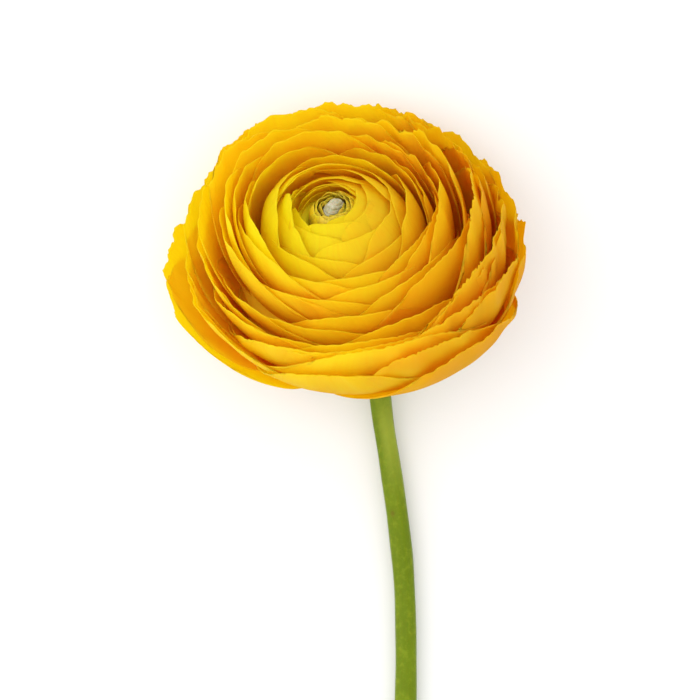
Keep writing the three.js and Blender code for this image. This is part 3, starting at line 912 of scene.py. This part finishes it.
def calyx_material():
    m = Shader("calyx")
    t, share = m.number("t"), m.number("share")
    veins, cloud = m.veins(14, 2, share), m.noise(m.place_on_piece(), 160, 3)
    green, light, dark, rim = (0.16, 0.27, 0.02), (0.27, 0.38, 0.05), (0.10, 0.17, 0.01), (0.55, 0.55, 0.12)
    colour = m.blend(m.spread(cloud, 0.3, 0.7), green, light)
    colour = m.blend(m.spread(veins, 0.4, 0.75, 0, 0.4), colour, dark)
    colour = m.blend(m.times(share, m.spread(t, 0.85, 1.0, 0, 0.6)), colour, rim)
    return m.finished({
        "Base Color": colour,
        "Roughness": m.spread(veins, 0.3, 0.7, 0.5, 0.7),
        "Sheen Weight": 0.3,
        "Normal": m.bump(m.plus(veins, cloud), 0.0002, 0.6),
    })


gold = petal_material("petal", PETAL_TRANSLUCENCE)
filled = petal_material("petal_core", CORE_TRANSLUCENCE)
for piece in (*golden, core):
    piece.data.materials.append(filled if piece is core else gold)
    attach(piece, "root")
    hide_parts("petals")
for piece, node, slot, material in (
    (heart, "heart_petals", "heart_petal", heart_material()),
    (bud, "centre", "centre", bud_material()),
    (calyx, "calyx", "calyx", calyx_material()),
    (stem, "stem", "stem", stem_material()),
):
    piece.data.materials.append(material)
    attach(piece, "root")
    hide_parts(node)

# The table, the light and the camera

FLOOR_HALF = 2.5
FLOOR_COLOUR = (0.93, 0.93, 0.93, 1)
FLOOR_ROUGHNESS = 0.8
floor_mesh = bpy.data.meshes.new("table")
corners = [(x * FLOOR_HALF, y * FLOOR_HALF, 0) for x, y in ((-1, -1), (1, -1), (1, 1), (-1, 1))]
floor_mesh.from_pydata(corners, [], [(0, 1, 2, 3)])
floor = bpy.data.objects.new("table", floor_mesh)
bpy.context.collection.objects.link(floor)
pale = Shader("table").finished({"Base Color": FLOOR_COLOUR, "Roughness": FLOOR_ROUGHNESS})
floor_mesh.materials.append(pale)
floor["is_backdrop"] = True

# Light goes many times to and fro in the deep creases between petals, so it has many bounces.
SKY = (1, 1, 1, 1)
SKY_STRENGTH = 1.05
BOUNCES = 32
MOST_BOUNCES = 48
world = bpy.data.worlds.new("studio")
world.use_nodes = True
world.node_tree.nodes["Background"].inputs["Color"].default_value = SKY
world.node_tree.nodes["Background"].inputs["Strength"].default_value = SKY_STRENGTH
bpy.context.scene.world = world
bpy.context.scene.view_settings.view_transform = "Standard"
bpy.context.scene.cycles.diffuse_bounces = BOUNCES
bpy.context.scene.cycles.transmission_bounces = BOUNCES
bpy.context.scene.cycles.max_bounces = MOST_BOUNCES

# The lights: name, place, size and watts. All point at a place inside the bloom.
LIGHTS = [
    ("key", (-0.5, 0.1, 0.9), 0.6, 1.7),
    ("front", (0.0, 0.0, 1.1), 0.5, 1.1),
    ("side", (-0.85, -0.1, 0.35), 0.6, 0.9),
]
AIM = Vector((0, 0.055, 0.03))


def area_light(name, place, size, watts):
    light = bpy.data.lights.new(name, "AREA")
    light.size = size
    light.energy = watts
    lamp = bpy.data.objects.new(name, light)
    lamp.location = place
    lamp.rotation_euler = (AIM - Vector(place)).to_track_quat("-Z", "Y").to_euler()
    bpy.context.collection.objects.link(lamp)


for light in LIGHTS:
    area_light(*light)

# The photo's frame: its scale in mm a pixel at 20 mm above the table, and where the bloom's
# base is in it.
MM_PER_PIXEL = 0.2486
FRAME = (699, 700)
BASE_PIXEL = (365, 305)
CAMERA_HEIGHT = 0.75
SCALE_HEIGHT = 0.02
camera = bpy.data.cameras.new("camera")
camera.sensor_fit = "HORIZONTAL"
camera.angle = 2 * math.atan(FRAME[0] * MM_PER_PIXEL * MM / 2 / (CAMERA_HEIGHT - SCALE_HEIGHT))
viewer = bpy.data.objects.new("camera", camera)
viewer.location = (
    ((FRAME[0] / 2 - BASE_PIXEL[0]) * MM_PER_PIXEL - PLAN_MIDDLE[0]) * MM,
    ((BASE_PIXEL[1] - FRAME[1] / 2) * MM_PER_PIXEL - PLAN_MIDDLE[1]) * MM,
    CAMERA_HEIGHT,
)
bpy.context.collection.objects.link(viewer)
bpy.context.scene.camera = viewer

boxes = {"cad": CAD_BOUNDS, "visual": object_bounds()}
{key: [[float(x) for x in corner] for corner in box] for key, box in boxes.items()}
